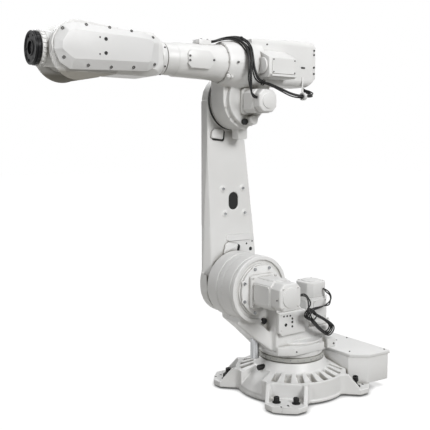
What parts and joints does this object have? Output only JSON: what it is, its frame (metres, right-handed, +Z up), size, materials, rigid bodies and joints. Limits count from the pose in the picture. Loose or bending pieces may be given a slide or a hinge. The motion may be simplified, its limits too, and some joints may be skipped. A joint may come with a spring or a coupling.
{
  "type": "industrial robot arm",
  "caption": "White floor-bolted jointed robot arm with ribbed round base, side-mounted lower arm, slim upper arm with motors and a forked wrist ending in a black tool flange.",
  "frame": {"origin": "on the first axis, on the floor under the foot pads", "axes": "+X the way the arm points at rest, +Y the arm's left, +Z up along the first axis"},
  "size_m": [2.191, 0.8007, 2.153],
  "materials": {
    "white_paint": "smooth semi-gloss coat",
    "motor_white": "satin coat",
    "cover_plastic": "fine satin moulded cover",
    "black_flange": "black oxide",
    "black_plastic": "matte moulded",
    "black_cable": "matte cable jacket",
    "steel": "turned"
  },
  "bodies": {
    "base": {"base_casting": "white_paint", "floor_pads": "steel", "cable_box": "white_paint", "cable_box_lid": "white_paint", "hub_plug": "black_plastic"},
    "turntable": {"slew_ring": "white_paint", "turntable_casting": "white_paint", "shoulder_ring": "white_paint", "shoulder_motor": "motor_white", "shoulder_motor_cap": "motor_white", "yaw_motor": "motor_white", "yaw_motor_cap": "motor_white", "connector_box": "white_paint", "side_cover": "white_paint", "stop_pin": "steel", "frame_plug": "black_plastic", "shoulder_lead": "black_cable", "yaw_lead": "black_cable", "lead_hank": "black_cable"},
    "lower_arm": {"lower_arm_casting": "white_paint", "shoulder_stop": "white_paint", "elbow_stop": "white_paint", "arm_side_covers": "white_paint"},
    "upper_arm": {"elbow_casting": "white_paint", "arm_tube": "white_paint", "rear_cover": "white_paint", "roll_motor": "motor_white", "roll_motor_cap": "motor_white", "elbow_motor": "motor_white", "elbow_motor_cap": "motor_white", "elbow_plug": "black_plastic", "tube_cover": "white_paint", "cable_bracket": "white_paint", "arm_cable": "black_cable", "roll_cable": "black_cable"},
    "wrist": {"wrist_ring": "white_paint", "wrist_casting": "white_paint", "fork_arm_left": "white_paint", "fork_arm_right": "white_paint", "wrist_cover_left": "cover_plastic", "wrist_cover_right": "cover_plastic"},
    "hand": {"tilt_housing": "white_paint", "tilt_ring": "white_paint"},
    "tool_plate": {"tool_flange": "black_flange"}
  },
  "joints": [
    {"name": "yaw", "type": "hinge", "parent": "base", "child": "turntable", "pos_m": [0, 0, 0.218], "axis": [0, 0, 1], "range_deg": [-170, 170]},
    {"name": "shoulder", "type": "hinge", "parent": "turntable", "child": "lower_arm", "pos_m": [0.362, -0.128, 0.694], "axis": [0, 1, 0], "range_deg": [-65, 85]},
    {"name": "elbow", "type": "hinge", "parent": "lower_arm", "child": "upper_arm", "pos_m": [0.362, -0.128, 1.792], "axis": [0, -1, 0], "range_deg": [-70, 180]},
    {"name": "roll", "type": "hinge", "parent": "upper_arm", "child": "wrist", "pos_m": [0.947, 0, 1.989], "axis": [1, 0, 0], "range_deg": [-300, 300]},
    {"name": "tilt", "type": "hinge", "parent": "wrist", "child": "hand", "pos_m": [1.467, 0, 1.989], "axis": [0, 1, 0], "range_deg": [-130, 130]},
    {"name": "tool_turn", "type": "hinge", "parent": "hand", "child": "tool_plate", "pos_m": [1.631, 0, 1.989], "axis": [1, 0, 0], "range_deg": [-360, 360]}
  ]
}
